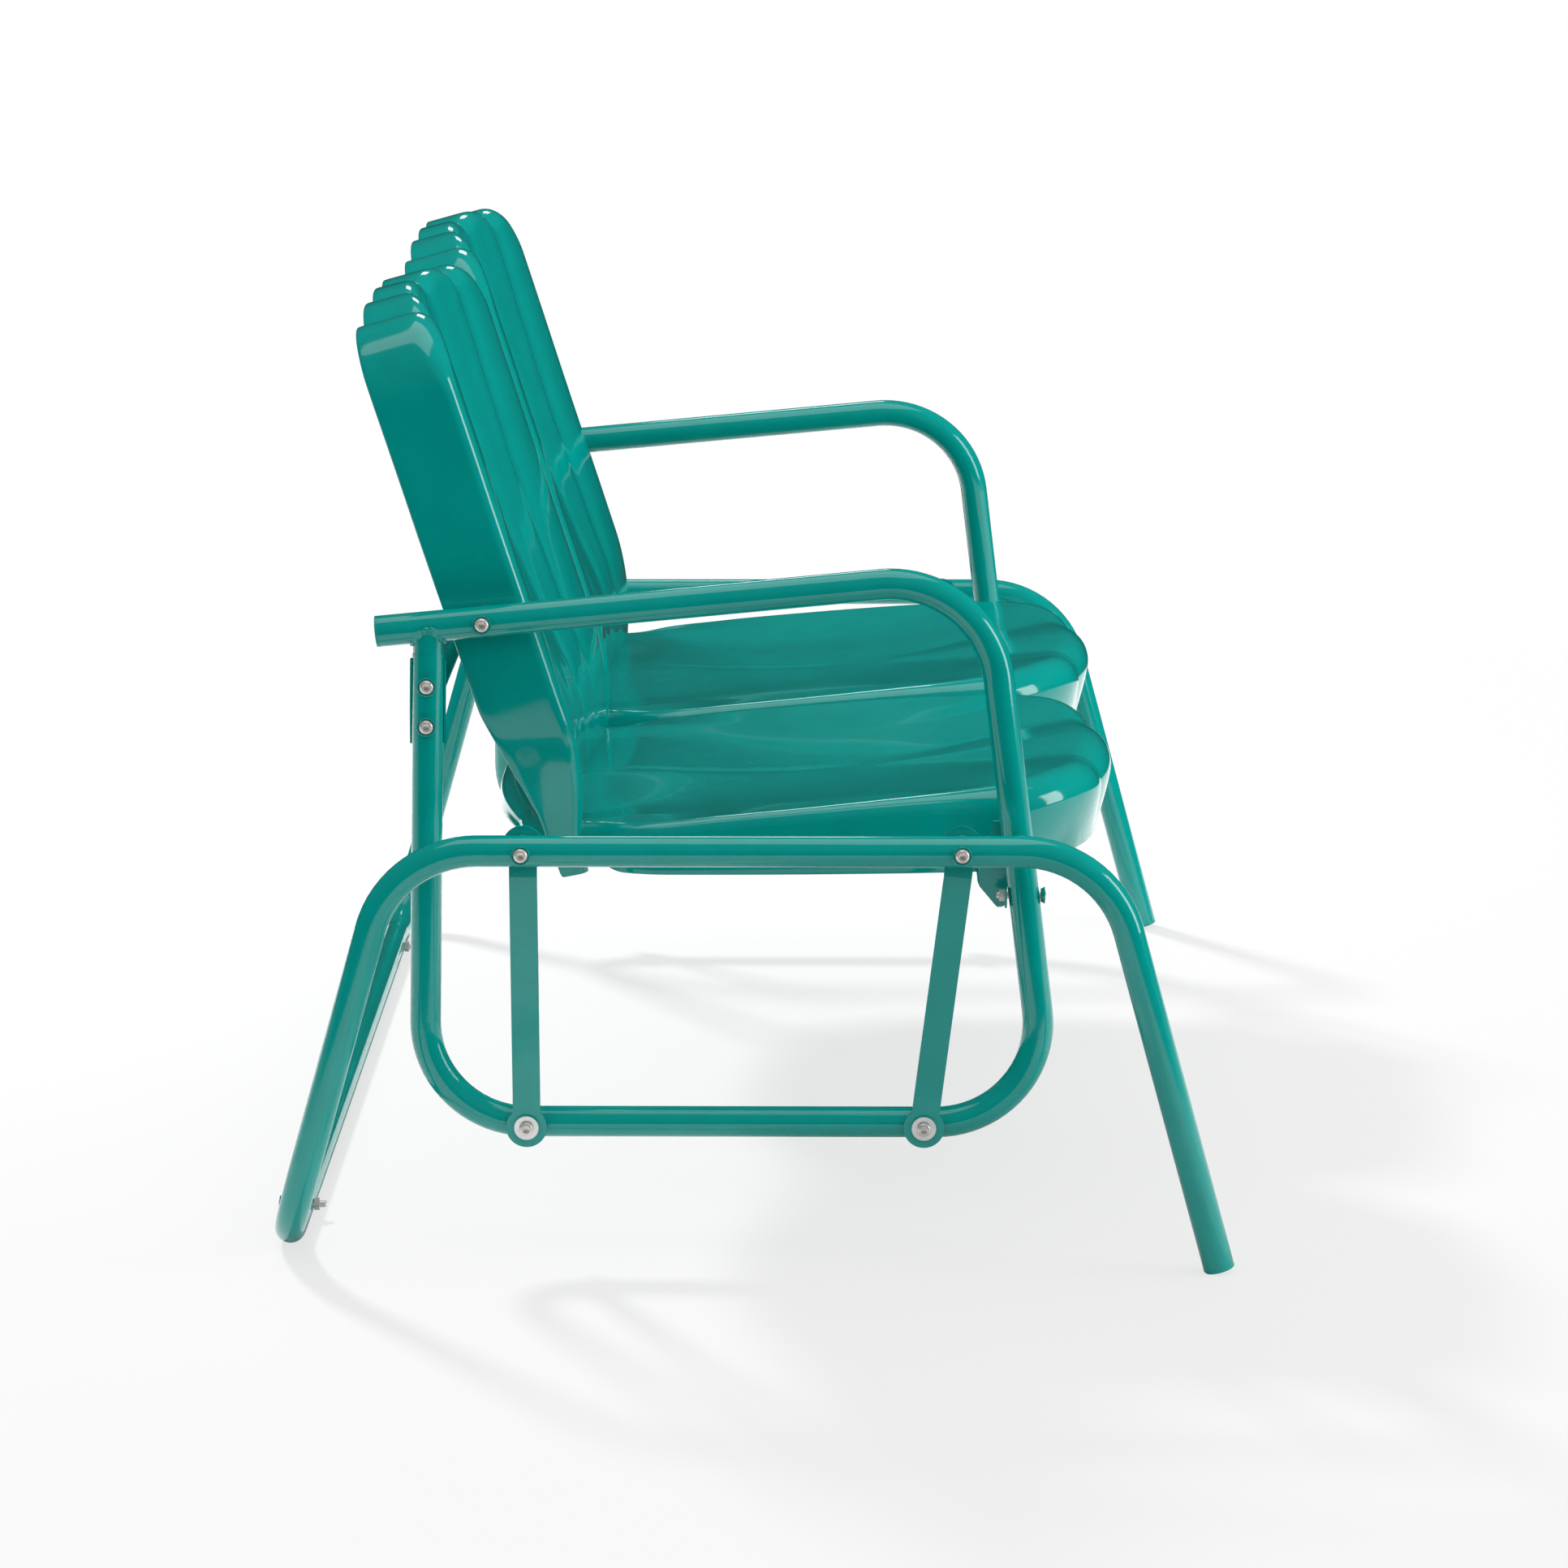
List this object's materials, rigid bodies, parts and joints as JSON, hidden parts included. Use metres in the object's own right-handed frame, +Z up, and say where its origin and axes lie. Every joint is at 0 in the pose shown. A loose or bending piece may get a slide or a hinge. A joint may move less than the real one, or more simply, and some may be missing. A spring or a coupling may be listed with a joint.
{
  "type": "glider bench",
  "caption": "Two-seat metal porch glider bench: scalloped pressed-steel seats and backs on a tubular frame that hangs from a floor stand on swinging links.",
  "frame": {"origin": "on the floor, under the middle of the bench's overall box", "axes": "+X to the right as seen from in front, across the bench; -Y is the front, where the sitters face; +Z up"},
  "size_m": [1.2654, 0.8771, 0.8484],
  "materials": {
    "teal_powder_coat": "high-gloss teal powder coat",
    "cup_washer": "teal-coated steel cup washer",
    "end_cap": "teal moulded plastic cap, semi-gloss",
    "stainless": "stainless steel fasteners",
    "bearing_steel": "ground bearing steel"
  },
  "bodies": {
    "stand": {"stand_frame_left": "teal_powder_coat", "stand_frame_right": "teal_powder_coat", "stand_cross_tube": "teal_powder_coat", "stand_foot_caps": "end_cap", "floor_joint_bolts": "stainless", "floor_joint_cup_washers": "cup_washer", "floor_joint_nuts": "stainless", "rail_pivot_bolts": "stainless", "rail_pivot_cup_washers": "cup_washer", "rail_pivot_spacers": "stainless", "rail_pivot_inner_rings": "bearing_steel", "rail_pivot_nuts": "stainless"},
    "rear_left_link": {"rear_link_left": "teal_powder_coat", "rear_link_left_outer_rings": "bearing_steel", "rear_link_left_balls": "bearing_steel"},
    "rear_right_link": {"rear_link_right": "teal_powder_coat", "rear_link_right_outer_rings": "bearing_steel", "rear_link_right_balls": "bearing_steel"},
    "front_left_link": {"front_link_left": "teal_powder_coat", "front_link_left_outer_rings": "bearing_steel", "front_link_left_balls": "bearing_steel", "front_link_left_low_inner_ring": "bearing_steel"},
    "front_right_link": {"front_link_right": "teal_powder_coat", "front_link_right_outer_rings": "bearing_steel", "front_link_right_balls": "bearing_steel", "front_link_right_low_inner_ring": "bearing_steel"},
    "seat": {"seat_frame_left": "teal_powder_coat", "seat_frame_right": "teal_powder_coat", "arm_end_caps": "end_cap", "rear_crossbar": "teal_powder_coat", "front_crossbar": "teal_powder_coat", "crossbar_bolts": "stainless", "crossbar_nuts": "stainless", "seat_cup_washers": "cup_washer", "front_post_cup_washers": "cup_washer", "front_crossbar_cross_bolts": "stainless", "front_crossbar_cross_nuts": "stainless", "seat_pan_left": "teal_powder_coat", "seat_pan_right": "teal_powder_coat", "back_shell_left": "teal_powder_coat", "back_shell_right": "teal_powder_coat", "arm_bolts": "stainless", "arm_spacers": "stainless", "arm_nuts": "stainless", "strap_bolts": "stainless", "strap_spacers": "stainless", "strap_nuts": "stainless", "tab_bolts": "stainless", "tab_washers": "stainless", "tab_nuts": "stainless", "pan_brackets": "teal_powder_coat", "pan_bracket_bolts": "stainless", "pan_bracket_nuts": "stainless", "seat_pivot_bolts": "stainless", "seat_pivot_washers": "stainless", "seat_pivot_spacers": "stainless", "seat_pivot_inner_rings": "bearing_steel", "seat_pivot_nuts": "stainless"}
  },
  "joints": [
    {"name": "glide", "type": "hinge", "parent": "stand", "child": "rear_left_link", "pos_m": [-0.593, 0.197, 0.388], "axis": [1, 0, 0], "range_deg": [-12, 12]},
    {"name": "seat_swing", "type": "hinge", "parent": "rear_left_link", "child": "seat", "pos_m": [-0.557, 0.2, 0.117], "axis": [1, 0, 0], "range_deg": [-13, 13]},
    {"name": "rear_right_link_swing", "type": "hinge", "parent": "stand", "child": "rear_right_link", "pos_m": [0.593, 0.197, 0.388], "axis": [1, 0, 0], "range_deg": [-12, 12]},
    {"name": "front_left_link_swing", "type": "hinge", "parent": "stand", "child": "front_left_link", "pos_m": [-0.593, -0.192, 0.388], "axis": [1, 0, 0], "range_deg": [-12, 12]},
    {"name": "front_right_link_swing", "type": "hinge", "parent": "stand", "child": "front_right_link", "pos_m": [0.593, -0.192, 0.388], "axis": [1, 0, 0], "range_deg": [-12, 12]}
  ],
  "couplings": [
    {"joint": "seat_swing", "follows": "glide", "ratio": -1.0798},
    {"joint": "rear_right_link_swing", "follows": "glide", "ratio": 1},
    {"joint": "front_left_link_swing", "follows": "glide", "ratio": 1},
    {"joint": "front_right_link_swing", "follows": "glide", "ratio": 1}
  ]
}
